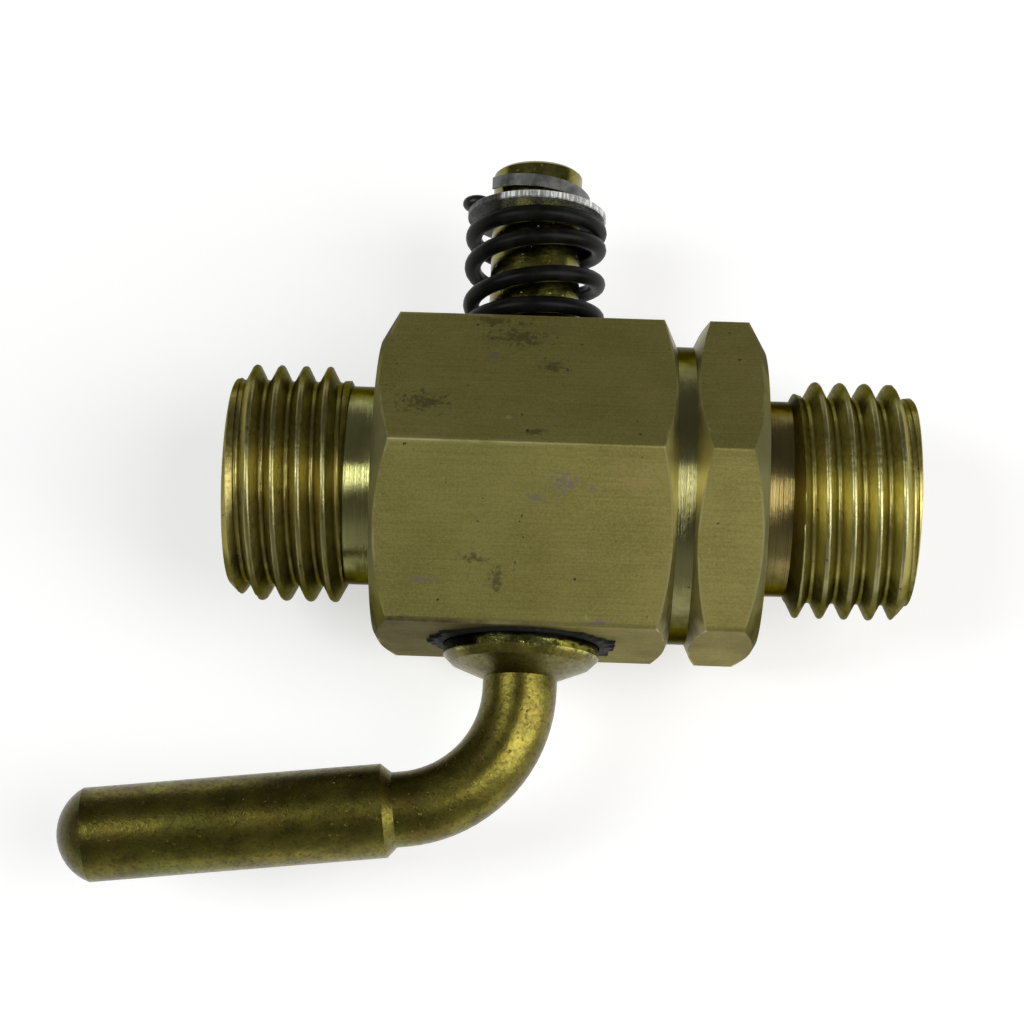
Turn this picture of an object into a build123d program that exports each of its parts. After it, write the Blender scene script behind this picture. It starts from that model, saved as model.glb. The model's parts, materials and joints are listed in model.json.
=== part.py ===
# Ground-key petcock: a brass cock whose taper plug is drawn into its seat by a spring.
# X runs along the bore towards the inlet thread, Y along the plug towards its spring,
# and Z is up. Every piece is drawn about the point where the two axes cross, in
# millimetres, and is then moved so that the origin lies at the inlet thread.

import os
from math import asin, atan2, cos, degrees, pi, radians, sin, sqrt, tan

from build123d import *

os.makedirs("parts", exist_ok=True)

# Hexagon bar
across_flats = 17.0
hex_edge_round = 0.18

# Turned body, measured along the bore from the plug's axis
outlet_face = 8.05
inlet_face = 12.65
face_circle = 16.2
corner_chamfer_angle = 30.0

# Groove between the long hexagon and the hexagon collar
groove_centre = 8.37
groove_floor_width = 0.94
groove_floor_diameter = 16.3
groove_flank_angle = 25.0

# Pipe threads, right-handed; each crest passes the top at a distance from the plug's axis
thread_diameter = 12.95
thread_pitch = 1.337
thread_depth = 0.83
thread_flank_angle = 27.5
thread_crest_width = 0.2
outlet_crest_at_top = 12.37
inlet_crest_at_top = 16.81
cutter_overreach = 0.05
seam_to_groove_exit = 323.0
thread_end_chamfer = 0.85
thread_runout = 0.55
outlet_neck_diameter = 10.9
outlet_neck_length = 1.6
outlet_thread_length = 6.4
inlet_neck_diameter = 10.7
inlet_neck_length = 1.5
inlet_thread_length = 6.7
neck_corner_radius = 0.25

# Waterway
waterway_diameter = 7.0
waterway_mouth_chamfer = 0.5
waterway_wall_at_plug = 1.7
drill_point_angle = 118.0
port_diameter = 4.2

# Taper plug: its large end stands out of the flat on the lever side as a collar
plug_mouth_diameter = 8.3
plug_taper = 1 / 8
seat_clearance = 0.03
plug_recess = 0.5
collar_height = 0.8
collar_edge = 0.45
collar_cone_angle = 23.0

# Stem
stem_diameter = 5.0
stem_above_pin = 1.77
stem_end_chamfer = 0.15
stem_root_radius = 0.3

# Lever
rod_diameter = 4.0
rod_straight = 0.55
bend_radius = 6.7
bend_angle = 83.3
rod_after_bend = 0.5
grip_diameter = 5.0
grip_shoulder_chamfer = 0.55
grip_length = 15.8
grip_dome_height = 1.6

# Spring
spring_wire = 0.92
spring_outside_diameter = 7.95
spring_height = 7.25
spring_turns = 4.4
spring_start_turn = -1.1
spring_end_closing = 0.6
spring_lean = 0.2
spring_points_per_turn = 14

# Washer
washer_diameter = 7.8
washer_thickness = 0.4
washer_edge_break = 0.06
washer_clearance = 0.08

# Split pin, folded from half-round wire
pin_diameter = 0.7
pin_hole_clearance = 0.05
pin_above_washer = 0.2
pin_leg_gap = 0.04
pin_eye_radius = 0.5
pin_neck_radius = 0.45
pin_bend_radius = 0.5
pin_wrap_gap = 0.15
pin_wrap_end = 148.0

# Sizes that follow from the ones above
flat_height = across_flats / 2
corner_radius = across_flats / sqrt(3)
thread_radius = thread_diameter / 2
outlet_thread_start = outlet_face + outlet_neck_length
outlet_end = outlet_thread_start + outlet_thread_length
inlet_thread_start = inlet_face + inlet_neck_length
inlet_end = inlet_thread_start + inlet_thread_length
inlet_wall_start = inlet_thread_start + thread_runout
outlet_neck_half = outlet_neck_length / 2
inlet_neck_half = inlet_neck_length / 2
outlet_neck_middle = outlet_face + outlet_neck_half
inlet_neck_middle = inlet_face + inlet_neck_half
stem_radius = stem_diameter / 2
spring_radius = (spring_outside_diameter - spring_wire) / 2
washer_seat = flat_height + spring_height
pin_radius = pin_diameter / 2
pin_hole_radius = pin_radius + pin_hole_clearance
pin_height = washer_seat + washer_thickness + pin_above_washer + pin_radius
stem_top = pin_height + stem_above_pin


def plug_radius(height):
    """Radius of the taper plug at a height on its axis."""
    return plug_mouth_diameter / 2 - (height + flat_height) * plug_taper / 2


def turned(points, axis, rounded=(), radius=0.0):
    """Solid of revolution from a closed outline, with some of its corners rounded."""
    outline = make_face(Polyline(*points, close=True))
    corners = []
    for x, y in rounded:
        corners.append(outline.vertices().sort_by_distance((x, y, 0))[0])
    if corners:
        outline = fillet(corners, radius)
    return revolve(outline, axis)


def make_threaded_end(neck_radius, neck_half, thread_length, crest_at_top):
    """One threaded end along X from the middle of its neck; a crest passes +Y at crest_at_top."""
    end = neck_half + thread_length
    bore = waterway_diameter / 2
    outline = [
        (0, bore),
        (0, neck_radius),
        (neck_half, neck_radius),
        (neck_half + thread_runout, thread_radius),
        (end - thread_end_chamfer, thread_radius),
        (end, thread_radius - thread_end_chamfer),
        (end, bore + waterway_mouth_chamfer),
        (end - waterway_mouth_chamfer, bore),
    ]
    flank_slope = tan(radians(thread_flank_angle))
    half_gap = (thread_pitch - thread_crest_width) / 2
    mouth_half = half_gap + cutter_overreach * flank_slope
    root_half = half_gap - thread_depth * flank_slope
    cutter = Polyline(
        (-thread_depth, -root_half),
        (cutter_overreach, -mouth_half),
        (cutter_overreach, mouth_half),
        (-thread_depth, root_half),
        close=True,
    )
    path = Helix(thread_pitch, end + thread_pitch, thread_radius, (0, 0, 0), (1, 0, 0))
    start = path @ 0
    start_plane = Plane(start, Vector(0, start.Y, start.Z), path % 0)
    groove = sweep(start_plane * make_face(cutter), path, is_frenet=True)

    # The blank's seam stands clear of the place where the groove leaves the end.
    start_angle = degrees(atan2(start.Z, start.Y))
    exit_angle = start_angle + 360 * end / thread_pitch
    blank = Rot(X=exit_angle - seam_to_groove_exit) * turned(outline, Axis.X)
    turn_to_crest = -start_angle - 180 - 360 * crest_at_top / thread_pitch
    return Rot(X=turn_to_crest) * (blank - groove)


def make_valve_body():
    """One turned piece: two threaded ends, a long hexagon and a hexagon collar."""
    bar_radius = corner_radius + hex_edge_round
    chamfer_reach = (bar_radius - face_circle / 2) * tan(radians(corner_chamfer_angle))
    groove_half = groove_floor_width / 2
    flank_reach = (bar_radius - groove_floor_diameter / 2) * tan(radians(groove_flank_angle))
    outlet_neck = outlet_neck_diameter / 2
    inlet_neck = inlet_neck_diameter / 2

    outline = [
        (-outlet_neck_middle, 0),
        (-outlet_neck_middle, outlet_neck),
        (-outlet_face, outlet_neck),
        (-outlet_face, face_circle / 2),
        (-outlet_face + chamfer_reach, bar_radius),
        (groove_centre - groove_half - flank_reach, bar_radius),
        (groove_centre - groove_half, groove_floor_diameter / 2),
        (groove_centre + groove_half, groove_floor_diameter / 2),
        (groove_centre + groove_half + flank_reach, bar_radius),
        (inlet_face - chamfer_reach, bar_radius),
        (inlet_face, face_circle / 2),
        (inlet_face, inlet_neck),
        (inlet_neck_middle, inlet_neck),
        (inlet_neck_middle, 0),
    ]
    neck_corners = [(-outlet_face, outlet_neck), (inlet_face, inlet_neck)]
    lathe_work = turned(outline, Axis.X, neck_corners, neck_corner_radius)

    hexagon = fillet(RegularPolygon(corner_radius, 6).vertices(), hex_edge_round)
    bar = extrude(Plane.YZ * Rot(Z=90) * hexagon, amount=inlet_end)
    bar += extrude(Plane.YZ * Rot(Z=90) * hexagon, amount=-outlet_end)
    body = (lathe_work & bar) - make_waterway() - make_taper_bore()

    inlet_crest = inlet_crest_at_top - inlet_neck_middle
    inlet_stub = make_threaded_end(inlet_neck, inlet_neck_half, inlet_thread_length, inlet_crest)
    outlet_crest = outlet_crest_at_top - outlet_neck_middle
    outlet_stub = make_threaded_end(
        outlet_neck, outlet_neck_half, outlet_thread_length, outlet_crest
    )
    body += Pos(X=inlet_neck_middle) * inlet_stub
    body += Pos(X=-outlet_neck_middle) * Rot(Y=180) * outlet_stub
    return body


def make_waterway():
    """Drilled from both necks to a wall beside the plug, then bored through at port size."""
    bore = waterway_diameter / 2
    port = port_diameter / 2
    drill_stop = plug_mouth_diameter / 2 + waterway_wall_at_plug
    point_length = (bore - port) / tan(radians(drill_point_angle / 2))

    def drilled(end, direction):
        outline = [
            (0, 0),
            (0, port),
            (direction * (drill_stop - point_length), port),
            (direction * drill_stop, bore),
            (direction * end, bore),
            (direction * end, 0),
        ]
        return turned(outline, Axis.X)

    return drilled(outlet_neck_middle, -1) + drilled(inlet_neck_middle, 1)


def make_taper_bore():
    """The plug's seat, right through the body from flat to flat."""
    outline = [
        (0, -flat_height),
        (plug_radius(-flat_height) + seat_clearance, -flat_height),
        (plug_radius(flat_height) + seat_clearance, flat_height),
        (0, flat_height),
    ]
    return turned(outline, Axis.Y)


def make_plug_lever():
    """Taper plug, stem and bent lever, in one piece."""
    small_end = flat_height - plug_recess
    collar_foot = -flat_height - collar_height
    collar_radius = plug_radius(collar_foot)
    cone_radius = collar_radius - collar_edge
    rod_radius = rod_diameter / 2
    cone_drop = (cone_radius - rod_radius) * tan(radians(collar_cone_angle))
    rod_top = collar_foot - collar_edge - cone_drop
    bend_start = rod_top - rod_straight

    outline = [
        (0, rod_top),
        (rod_radius, rod_top),
        (cone_radius, collar_foot - collar_edge),
        (collar_radius, collar_foot),
        (plug_radius(small_end), small_end),
        (stem_radius, small_end),
        (stem_radius, stem_top - stem_end_chamfer),
        (stem_radius - stem_end_chamfer, stem_top),
        (0, stem_top),
    ]
    root_step = plug_radius(small_end) - stem_radius
    root_radius = min(stem_root_radius, root_step / 2)
    plug = turned(outline, Axis.Y, [(stem_radius, small_end)], root_radius)

    straight = Line((0, rod_top), (0, bend_start))
    bend = JernArc((0, bend_start), (0, -1), bend_radius, -bend_angle)
    shoulder = bend @ 1 + (bend % 1) * rod_after_bend
    path = Wire([straight, bend, Line(bend @ 1, shoulder)])
    rod = sweep(Plane((0, rod_top, 0), z_dir=(0, -1, 0)) * Circle(rod_radius), path)

    port = Rot(Y=90) * Cylinder(port_diameter / 2, plug_mouth_diameter)
    pin_hole = Pos(Y=pin_height) * Rot(Y=90) * Cylinder(pin_hole_radius, 2 * stem_diameter)
    grip = Plane(shoulder, z_dir=bend % 1) * make_grip()
    return plug + rod + grip - port - pin_hole


def make_grip():
    """Round grip along its own axis: chamfered shoulder, straight length, domed end."""
    radius = grip_diameter / 2
    dome_start = grip_shoulder_chamfer + grip_length
    tip = dome_start + grip_dome_height
    dome_radius = (radius**2 + grip_dome_height**2) / (2 * grip_dome_height)
    half_angle = asin(radius / dome_radius) / 2
    dome_middle = (dome_radius * sin(half_angle), tip - dome_radius * (1 - cos(half_angle)))
    sides = Polyline(
        (0, tip),
        (0, 0),
        (rod_diameter / 2, 0),
        (radius, grip_shoulder_chamfer),
        (radius, dome_start),
    )
    dome = ThreePointArc((radius, dome_start), dome_middle, (0, tip))
    half_section = Plane.XZ * make_face([*sides.edges(), dome])
    return revolve(half_section, Axis.Z)


def spring_point(share):
    """Point on the spring wire's middle line, from its first end (0) to its last (1)."""
    turn = 2 * pi * (spring_start_turn + share * spring_turns)
    rise = share - spring_end_closing * sin(2 * pi * share) / (2 * pi)
    lean = spring_lean * cos(turn) * sin(pi * share) ** 2
    height = flat_height + spring_wire / 2 + (spring_height - spring_wire) * rise + lean
    return (spring_radius * cos(turn), height, -spring_radius * sin(turn))


def make_spring():
    """Compression spring with closed ends and a slight lean in its open coils."""
    steps = round(spring_turns * spring_points_per_turn)
    path = Spline(*[spring_point(step / steps) for step in range(steps + 1)])
    wire_section = Plane(path @ 0, z_dir=path % 0) * Circle(spring_wire / 2)
    return sweep(wire_section, path, is_frenet=True)


def make_washer():
    """Thin washer on the stem, on top of the spring."""
    outer = washer_diameter / 2
    inner = stem_radius + washer_clearance
    top = washer_seat + washer_thickness
    outline = [
        (inner, washer_seat),
        (outer - washer_edge_break, washer_seat),
        (outer, washer_seat + washer_edge_break),
        (outer, top - washer_edge_break),
        (outer - washer_edge_break, top),
        (inner, top),
    ]
    return turned(outline, Axis.Y)


def make_split_pin():
    """Half-round wire folded at an eye, its legs through the stem and bent back round it."""
    flat = pin_leg_gap / 2
    wrap = stem_radius + pin_wrap_gap + pin_radius
    bend_height = flat + pin_bend_radius
    bend_x = sqrt((wrap - pin_bend_radius) ** 2 - bend_height**2)
    bend_turn = 90 + degrees(atan2(bend_height, bend_x))
    wrap_turn = pin_wrap_end - degrees(atan2(bend_height, bend_x))
    neck_x = -stem_radius - pin_hole_clearance
    neck_height = flat + pin_neck_radius
    neck_turn = degrees(asin(sqrt(1 - (neck_height / (pin_neck_radius + pin_eye_radius)) ** 2)))

    leg = Line((neck_x, flat), (bend_x, flat))
    bend = JernArc(leg @ 1, (1, 0), pin_bend_radius, bend_turn)
    wrapped = JernArc(bend @ 1, bend % 1, wrap, wrap_turn)
    neck = JernArc(leg @ 0, (-1, 0), pin_neck_radius, -neck_turn)
    eye = JernArc(neck @ 1, neck % 1, pin_eye_radius, 90 + neck_turn)

    def half_round(at, along):
        side = Vector(along).rotate(Axis.Z, 90)
        disc = Circle(pin_radius) & Pos(pin_radius) * Rectangle(pin_diameter, pin_diameter)
        return Plane(at, x_dir=side, z_dir=along) * disc

    to_tip = sweep(half_round(leg @ 0, leg % 0), Wire([leg, bend, wrapped]))
    eye_half = sweep(half_round(leg @ 0, leg % 0), Wire([neck, eye]))
    front_half = to_tip + eye_half
    whole = front_half + mirror(front_half, Plane.XZ)
    return Pos(Y=pin_height) * Rot(X=-90) * whole


pieces = {
    "valve_body": make_valve_body(),
    "plug_lever": make_plug_lever(),
    "spring": make_spring(),
    "washer": make_washer(),
    "split_pin": make_split_pin(),
}

to_inlet_thread = Pos(-inlet_wall_start, 0, 0)
for name, shape in pieces.items():
    export_step(to_inlet_thread * shape, f"parts/{name}.step")
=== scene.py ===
# %% [markdown]
# # A brass petcock on a white table
# A petcock is a small plug valve. A taper plug turns in a bar of hexagon brass, a spring
# keeps it seated, and a bent lever turns it. The solid model already gives each piece its
# size and place, so this lesson adds what a solid model leaves out: rounded threads, a spring
# that can shorten, grease, and metal that has been handled. The model is loaded first,
# because later steps take sizes from it.

# %% Load the solid model
import json
import math

import bmesh
import bpy
from mathutils import Matrix, Vector, noise


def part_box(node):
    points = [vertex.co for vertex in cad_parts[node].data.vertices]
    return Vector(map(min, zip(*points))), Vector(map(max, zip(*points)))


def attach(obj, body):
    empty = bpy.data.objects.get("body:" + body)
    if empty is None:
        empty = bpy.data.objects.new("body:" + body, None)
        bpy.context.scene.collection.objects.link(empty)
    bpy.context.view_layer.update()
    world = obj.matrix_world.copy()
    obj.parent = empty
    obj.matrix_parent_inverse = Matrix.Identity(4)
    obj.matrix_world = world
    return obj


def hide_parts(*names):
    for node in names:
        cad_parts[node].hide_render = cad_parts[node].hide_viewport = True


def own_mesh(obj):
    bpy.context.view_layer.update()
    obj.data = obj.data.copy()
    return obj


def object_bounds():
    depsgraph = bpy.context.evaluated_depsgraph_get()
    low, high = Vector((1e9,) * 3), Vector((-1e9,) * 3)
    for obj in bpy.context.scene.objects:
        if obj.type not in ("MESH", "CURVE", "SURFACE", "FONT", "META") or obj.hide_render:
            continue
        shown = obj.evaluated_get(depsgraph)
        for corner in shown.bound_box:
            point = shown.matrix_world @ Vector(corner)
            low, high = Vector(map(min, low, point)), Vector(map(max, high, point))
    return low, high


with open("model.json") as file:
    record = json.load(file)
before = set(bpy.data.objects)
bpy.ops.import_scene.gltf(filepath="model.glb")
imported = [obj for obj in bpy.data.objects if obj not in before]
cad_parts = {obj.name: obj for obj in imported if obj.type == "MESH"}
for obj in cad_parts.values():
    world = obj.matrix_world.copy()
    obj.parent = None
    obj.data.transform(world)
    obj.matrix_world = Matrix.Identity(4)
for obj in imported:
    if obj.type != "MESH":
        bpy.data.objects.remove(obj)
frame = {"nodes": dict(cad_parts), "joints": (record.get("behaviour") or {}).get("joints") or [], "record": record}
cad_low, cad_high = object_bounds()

print("nodes", sorted(frame["nodes"]))

# %% [markdown]
# ## Places that later steps share
# The plug's axis, the flats and the spring's travel could be typed in again here, but then a
# change to the solid model would leave this file behind. They are read from the model instead.

# %% Read the shared places
MM = 0.001
joints = {joint["name"]: joint for joint in frame["joints"]}
mounts = {mount["name"]: mount for mount in frame["record"]["mounts"]}
body_low, body_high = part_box("valve_body")
plug_x = joints["plug_turn"]["pos_m"][0]
flat_y = body_high.y
corner_z = body_high.z
merge_distance = 0.001 * MM
print(f"plug axis at {plug_x / MM:.2f} mm, flats at {flat_y / MM:.2f} mm")

# %% [markdown]
# ## From a bmesh to a piece
# Every new piece ends the same way: its mesh gets smooth faces with sharp corners where two
# faces meet at a clear angle, and it is tied to the body that carries it. One helper does
# this, so that no piece is forgotten.

# %% Finish a piece
corner_angle = math.radians(26)


def make_piece(name, bm, body, materials):
    """Turn a bmesh into an object that rides on a body of the model."""
    for face in bm.faces:
        face.smooth = True
    for edge in bm.edges:
        edge.smooth = len(edge.link_faces) == 2 and edge.calc_face_angle() < corner_angle
    mesh = bpy.data.meshes.new(name)
    bm.to_mesh(mesh)
    bm.free()
    for material in materials:
        mesh.materials.append(material)
    piece = bpy.data.objects.new(name, mesh)
    bpy.context.scene.collection.objects.link(piece)
    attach(piece, body)
    print(f"{name}: {len(mesh.polygons)} faces on {body}")
    return piece


# %% [markdown]
# ## Helpers for materials
# A material is a graph of nodes. Writing each node out in full would bury the idea, so one
# helper adds a node and fills its sockets: a number or a colour is set on the socket, and a
# socket of another node is linked to it.

# %% Add and link nodes
def feed(tree, socket, value):
    """Link another node's socket to a socket, or set it to a number or a colour."""
    if isinstance(value, bpy.types.NodeSocket):
        tree.links.new(value, socket)
    else:
        socket.default_value = value


def put(tree, kind, inputs=None, **settings):
    """Add a node, set its properties, and set or link its inputs."""
    node = tree.nodes.new(kind)
    for key, value in settings.items():
        setattr(node, key, value)
    for key, value in (inputs or {}).items():
        feed(tree, node.inputs[key], value)
    return node


# %% Arithmetic, ramps, colours and noise
def maths(tree, operation, first, second=0.0, third=0.0):
    """One arithmetic step on sockets or numbers."""
    return put(tree, "ShaderNodeMath", {0: first, 1: second, 2: third},
               operation=operation).outputs[0]


def ramp(tree, value, low, high, to_low=0.0, to_high=1.0):
    """Map a value from one range to another, with soft ends."""
    inputs = {"Value": value, "From Min": low, "From Max": high,
              "To Min": to_low, "To Max": to_high}
    node = put(tree, "ShaderNodeMapRange", inputs, interpolation_type="SMOOTHSTEP")
    return node.outputs["Result"]


def tint(tree, mask, under, over, strength=1.0, blend="MIX"):
    """Lay one colour over another where a mask is bright."""
    if strength < 1.0:
        mask = maths(tree, "MULTIPLY", mask, strength)
    node = put(tree, "ShaderNodeMix", {0: mask, 6: under, 7: over}, data_type="RGBA",
               blend_type=blend)
    return node.outputs[2]


def grain(tree, vector, scale, detail=3.0, roughness=0.55):
    """Noise with a value from 0 to 1."""
    inputs = {"Vector": vector, "Scale": scale, "Detail": detail, "Roughness": roughness}
    return put(tree, "ShaderNodeTexNoise", inputs).outputs["Fac"]


def object_place(tree):
    """Object coordinates, which stay put when a piece moves."""
    return put(tree, "ShaderNodeTexCoord").outputs["Object"]


def coordinate(tree, place, axis):
    """One coordinate of a place: 0 along the bore, 1 along the plug, 2 upwards."""
    return put(tree, "ShaderNodeSeparateXYZ", {0: place}).outputs[axis]


# %% Make and place node groups
def new_group(name, inputs, outputs):
    """An empty node group with named sockets."""
    group = bpy.data.node_groups.new(name, "ShaderNodeTree")
    for label, kind in inputs:
        group.interface.new_socket(label, in_out="INPUT", socket_type="NodeSocket" + kind)
    for label, kind in outputs:
        group.interface.new_socket(label, in_out="OUTPUT", socket_type="NodeSocket" + kind)
    return group, group.nodes.new("NodeGroupInput"), group.nodes.new("NodeGroupOutput")


def use(tree, group, **values):
    """Place a node group and set or link its inputs."""
    node = put(tree, "ShaderNodeGroup", node_tree=group)
    for key, value in values.items():
        feed(tree, node.inputs[key], value)
    return node


# %% Start and finish a material
def start_material(name):
    """A new material's node tree, with only its shader and output."""
    material = bpy.data.materials.new(name)
    material.use_nodes = True
    return material.node_tree


def set_shader(tree, socket, value):
    """Set or link one socket of a material's shader."""
    feed(tree, tree.nodes["Principled BSDF"].inputs[socket], value)


def dull_edges(tree, color):
    """Colour what a metal reflects at a grazing angle, which is white on a clean one."""
    set_shader(tree, "Specular Tint", color)


def finish_material(name, color, roughness, metallic, bumps=()):
    """Feed a material's shader; each bump is a height socket and its depth in metres."""
    material = bpy.data.materials[name]
    tree = material.node_tree
    set_shader(tree, "Base Color", color)
    set_shader(tree, "Roughness", roughness)
    set_shader(tree, "Metallic", metallic)
    normal = None
    for height, depth in bumps:
        bump = put(tree, "ShaderNodeBump", {"Height": height, "Distance": depth})
        if normal:
            tree.links.new(normal, bump.inputs["Normal"])
        normal = bump.outputs["Normal"]
    if normal:
        set_shader(tree, "Normal", normal)
    print("material", name)
    return material


# %% [markdown]
# ## Shared effects
# The same few things have happened to all this metal. Drawing or turning left fine lines,
# corrosion left small marks, and handling left scuffs in known places. Each is a node group with
# its own sizes, so that the flats, the threads and the lever can use it differently. All of them
# read Object coordinates in metres, because those stay put when a piece moves. The last group
# measures from the bore, and marks the sides towards the spring and the lever for painted shade.

# %% Group: lines left by a tool
def make_tool_lines():
    """Fine lines: noise that is stretched along one direction of a vector."""
    group, given, made = new_group(
        "tool_lines", [("Vector", "Vector"), ("Stretch", "Vector"), ("Detail", "Float")],
        [("Mask", "Float")])
    place = put(group, "ShaderNodeVectorMath", {0: given.outputs[0], 1: given.outputs[1]},
                operation="MULTIPLY")
    lines = put(group, "ShaderNodeTexNoise", {"Vector": place.outputs[0], "Scale": 1.0,
                                              "Detail": given.outputs[2], "Roughness": 0.7})
    group.links.new(lines.outputs["Fac"], made.inputs[0])
    return group


tool_lines = make_tool_lines()


# %% Group: small marks that stand apart
def make_flecks():
    """Ragged marks in some of the cells of a pattern; Size is a share of a cell."""
    group, given, made = new_group(
        "flecks", [("Vector", "Vector"), ("Scale", "Float"), ("Size", "Float"),
                   ("Share", "Float")], [("Mask", "Float")])
    place = put(group, "ShaderNodeVectorMath", {0: given.outputs[0], "Scale": given.outputs[1]},
                operation="SCALE").outputs[0]
    wobble = put(group, "ShaderNodeTexNoise", {"Vector": place, "Scale": 4.0, "Detail": 3.0})
    ragged = put(group, "ShaderNodeVectorMath",
                 {0: wobble.outputs["Color"], 1: (0.3, 0.3, 0.3), 2: place},
                 operation="MULTIPLY_ADD").outputs[0]
    cells = put(group, "ShaderNodeTexVoronoi", {"Vector": ragged, "Scale": 1.0})
    dice = put(group, "ShaderNodeSeparateColor", {0: cells.outputs["Color"]})
    reach = maths(group, "MULTIPLY", given.outputs[2], maths(group, "ADD", dice.outputs[1], 0.35))
    mark = ramp(group, cells.outputs["Distance"], reach, maths(group, "MULTIPLY", reach, 0.55))
    chosen = maths(group, "LESS_THAN", dice.outputs[0], given.outputs[3])
    group.links.new(maths(group, "MULTIPLY", mark, chosen), made.inputs[0])
    return group


flecks = make_flecks()


# %% Group: a scuff in one place
def make_scuff():
    """A ragged patch about a place, with a reach along each axis."""
    group, given, made = new_group(
        "scuff", [("Vector", "Vector"), ("Place", "Vector"), ("Reach", "Vector"),
                  ("Grain", "Float")], [("Mask", "Float")])
    offset = put(group, "ShaderNodeVectorMath", {0: given.outputs[0], 1: given.outputs[1]},
                 operation="SUBTRACT")
    shares = put(group, "ShaderNodeVectorMath", {0: offset.outputs[0], 1: given.outputs[2]},
                 operation="DIVIDE")
    away = put(group, "ShaderNodeVectorMath", {0: shares.outputs[0]}, operation="LENGTH")
    ragged = grain(group, given.outputs[0], given.outputs[3], 4.0, 0.75)
    edge = maths(group, "ADD", away.outputs["Value"], maths(group, "MULTIPLY", ragged, 4.5))
    group.links.new(ramp(group, edge, 3.0, 2.35), made.inputs[0])
    return group


scuff = make_scuff()


# %% Group: distance from the bore
# How far round the sides towards the spring and the lever the painted shade reaches.
spring_side_shade = 1.15
lever_side_shade = 0.88


def make_about_bore():
    """Distance from the bore's axis, the place along it and that distance, and painted shade on the sides."""
    group, given, made = new_group(
        "about_bore", [("Vector", "Vector")],
        [("Radius", "Float"), ("Vector", "Vector"), ("Painted side shade", "Float")])
    parts = put(group, "ShaderNodeSeparateXYZ", {0: given.outputs[0]})
    across = put(group, "ShaderNodeCombineXYZ", {1: parts.outputs[1], 2: parts.outputs[2]})
    radius = put(group, "ShaderNodeVectorMath", {0: across.outputs[0]}, operation="LENGTH")
    pair = put(group, "ShaderNodeCombineXYZ", {0: parts.outputs[0], 1: radius.outputs["Value"]})
    # Painted shade: the sides facing along the plug are darkened, standing in for the object's shadow on the table
    # that they reflect.
    above = maths(group, "MULTIPLY", parts.outputs[1], spring_side_shade)
    below = maths(group, "MULTIPLY", parts.outputs[1], -lever_side_shade)
    aside = maths(group, "DIVIDE", maths(group, "MAXIMUM", above, below), radius.outputs["Value"])
    blotch = grain(group, given.outputs[0], 900, 4.0)
    uneven = maths(group, "ADD", aside, maths(group, "MULTIPLY", blotch, 0.3))
    group.links.new(radius.outputs["Value"], made.inputs[0])
    group.links.new(pair.outputs[0], made.inputs[1])
    group.links.new(ramp(group, uneven, 0.78, 1.05), made.inputs[2])
    return group


about_bore = make_about_bore()
print("groups", [group.name for group in bpy.data.node_groups])

# %% [markdown]
# ## Wear on the flats
# The flats carry scuffs whose places can be read from the photograph: violet-grey rubs, dark
# stains, and a copper tint near the groove. Painting them would need a picture, so each is a
# place on the body, in millimetres from the crossing of the two axes, and a reach.

# %% Places of the scuffs
VIOLET_RUBS = [
    ((2.07, -1.77, 8.79), (1.0, 0.85, 0.85)),
    ((3.55, -2.0, 8.66), (0.7, 0.35, 0.35)),
    ((-5.25, -6.48, 6.08), (1.2, 0.22, 0.22)),
    ((-1.9, 5.58, 6.59), (0.6, 0.5, 0.5)),
    ((0.6, -2.5, 8.4), (0.8, 0.4, 0.4)),
    ((4.0, -8.3, 5.05), (1.1, 0.25, 0.25)),
]
DARK_STAINS = [
    ((-2.18, 8.0, 5.2), (1.3, 0.5, 0.5)),
    ((-0.35, 7.86, 5.28), (0.5, 0.25, 0.25)),
    ((1.3, 5.0, 6.9), (1.1, 0.6, 0.6)),
    ((-0.6, 6.9, 5.8), (2.2, 1.0, 1.0)),
    ((0.4, 0.68, 9.43), (0.9, 0.3, 0.3)),
    ((-5.5, 2.4, 8.45), (1.8, 1.0, 1.0)),
    ((-1.4, -6.4, 6.1), (0.5, 1.1, 0.9)),
    ((-2.6, -5.4, 6.7), (1.0, 0.5, 0.5)),
    ((-6.2, -8.45, 4.9), (1.0, 0.3, 0.3)),
]
COPPER_TINTS = [
    ((5.2, 0.75, 9.4), (2.4, 0.7, 0.7)),
    ((5.8, -1.5, 8.9), (2.0, 1.6, 1.2)),
]
print("scuffs", len(VIOLET_RUBS) + len(DARK_STAINS) + len(COPPER_TINTS))


def add_scuffs(tree, place, scuffs, graininess):
    """One mask for a list of scuffs on the body."""
    mask = 0.0
    for (x, y, z), reach in scuffs:
        centre = (plug_x + x * MM, y * MM, z * MM)
        patch = use(tree, scuff, Vector=place, Place=centre, Grain=graininess,
                    Reach=tuple(length * MM for length in reach))
        mask = maths(tree, "MAXIMUM", patch.outputs[0], mask)
    return mask


# %% [markdown]
# ## Drawn brass
# The flats are the skin of a drawn bar: dull olive brass with fine lines along the bar. A plain
# colour would look like paint, so the lines change the colour, the roughness and the height a
# little, and a slow noise shifts the tone between tan and olive. The flat on the lever's side is
# darkened brown with painted shade, and the flat next to it gets painted light towards the inlet.
# The corners of the hexagon, and the rims where turning cut into the flats, are rubbed bright.
# Each rim lies on a known cone, so the distance to that cone finds it.

# %% Colours of the flats
FLAT_DARK = (0.178, 0.159, 0.047, 1)
FLAT_LIGHT = (0.285, 0.258, 0.084, 1)
FLAT_COPPER = (0.34, 0.24, 0.11, 1)
FLAT_STAIN = (0.075, 0.062, 0.03, 1)
FLAT_VIOLET = (0.185, 0.158, 0.14, 1)
FLAT_PIT = (0.03, 0.018, 0.01, 1)
# Painted light: lifts the lower flats towards the inlet.
FLAT_PAINTED_LIGHT = (1.24, 1.22, 1.28, 1)
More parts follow.
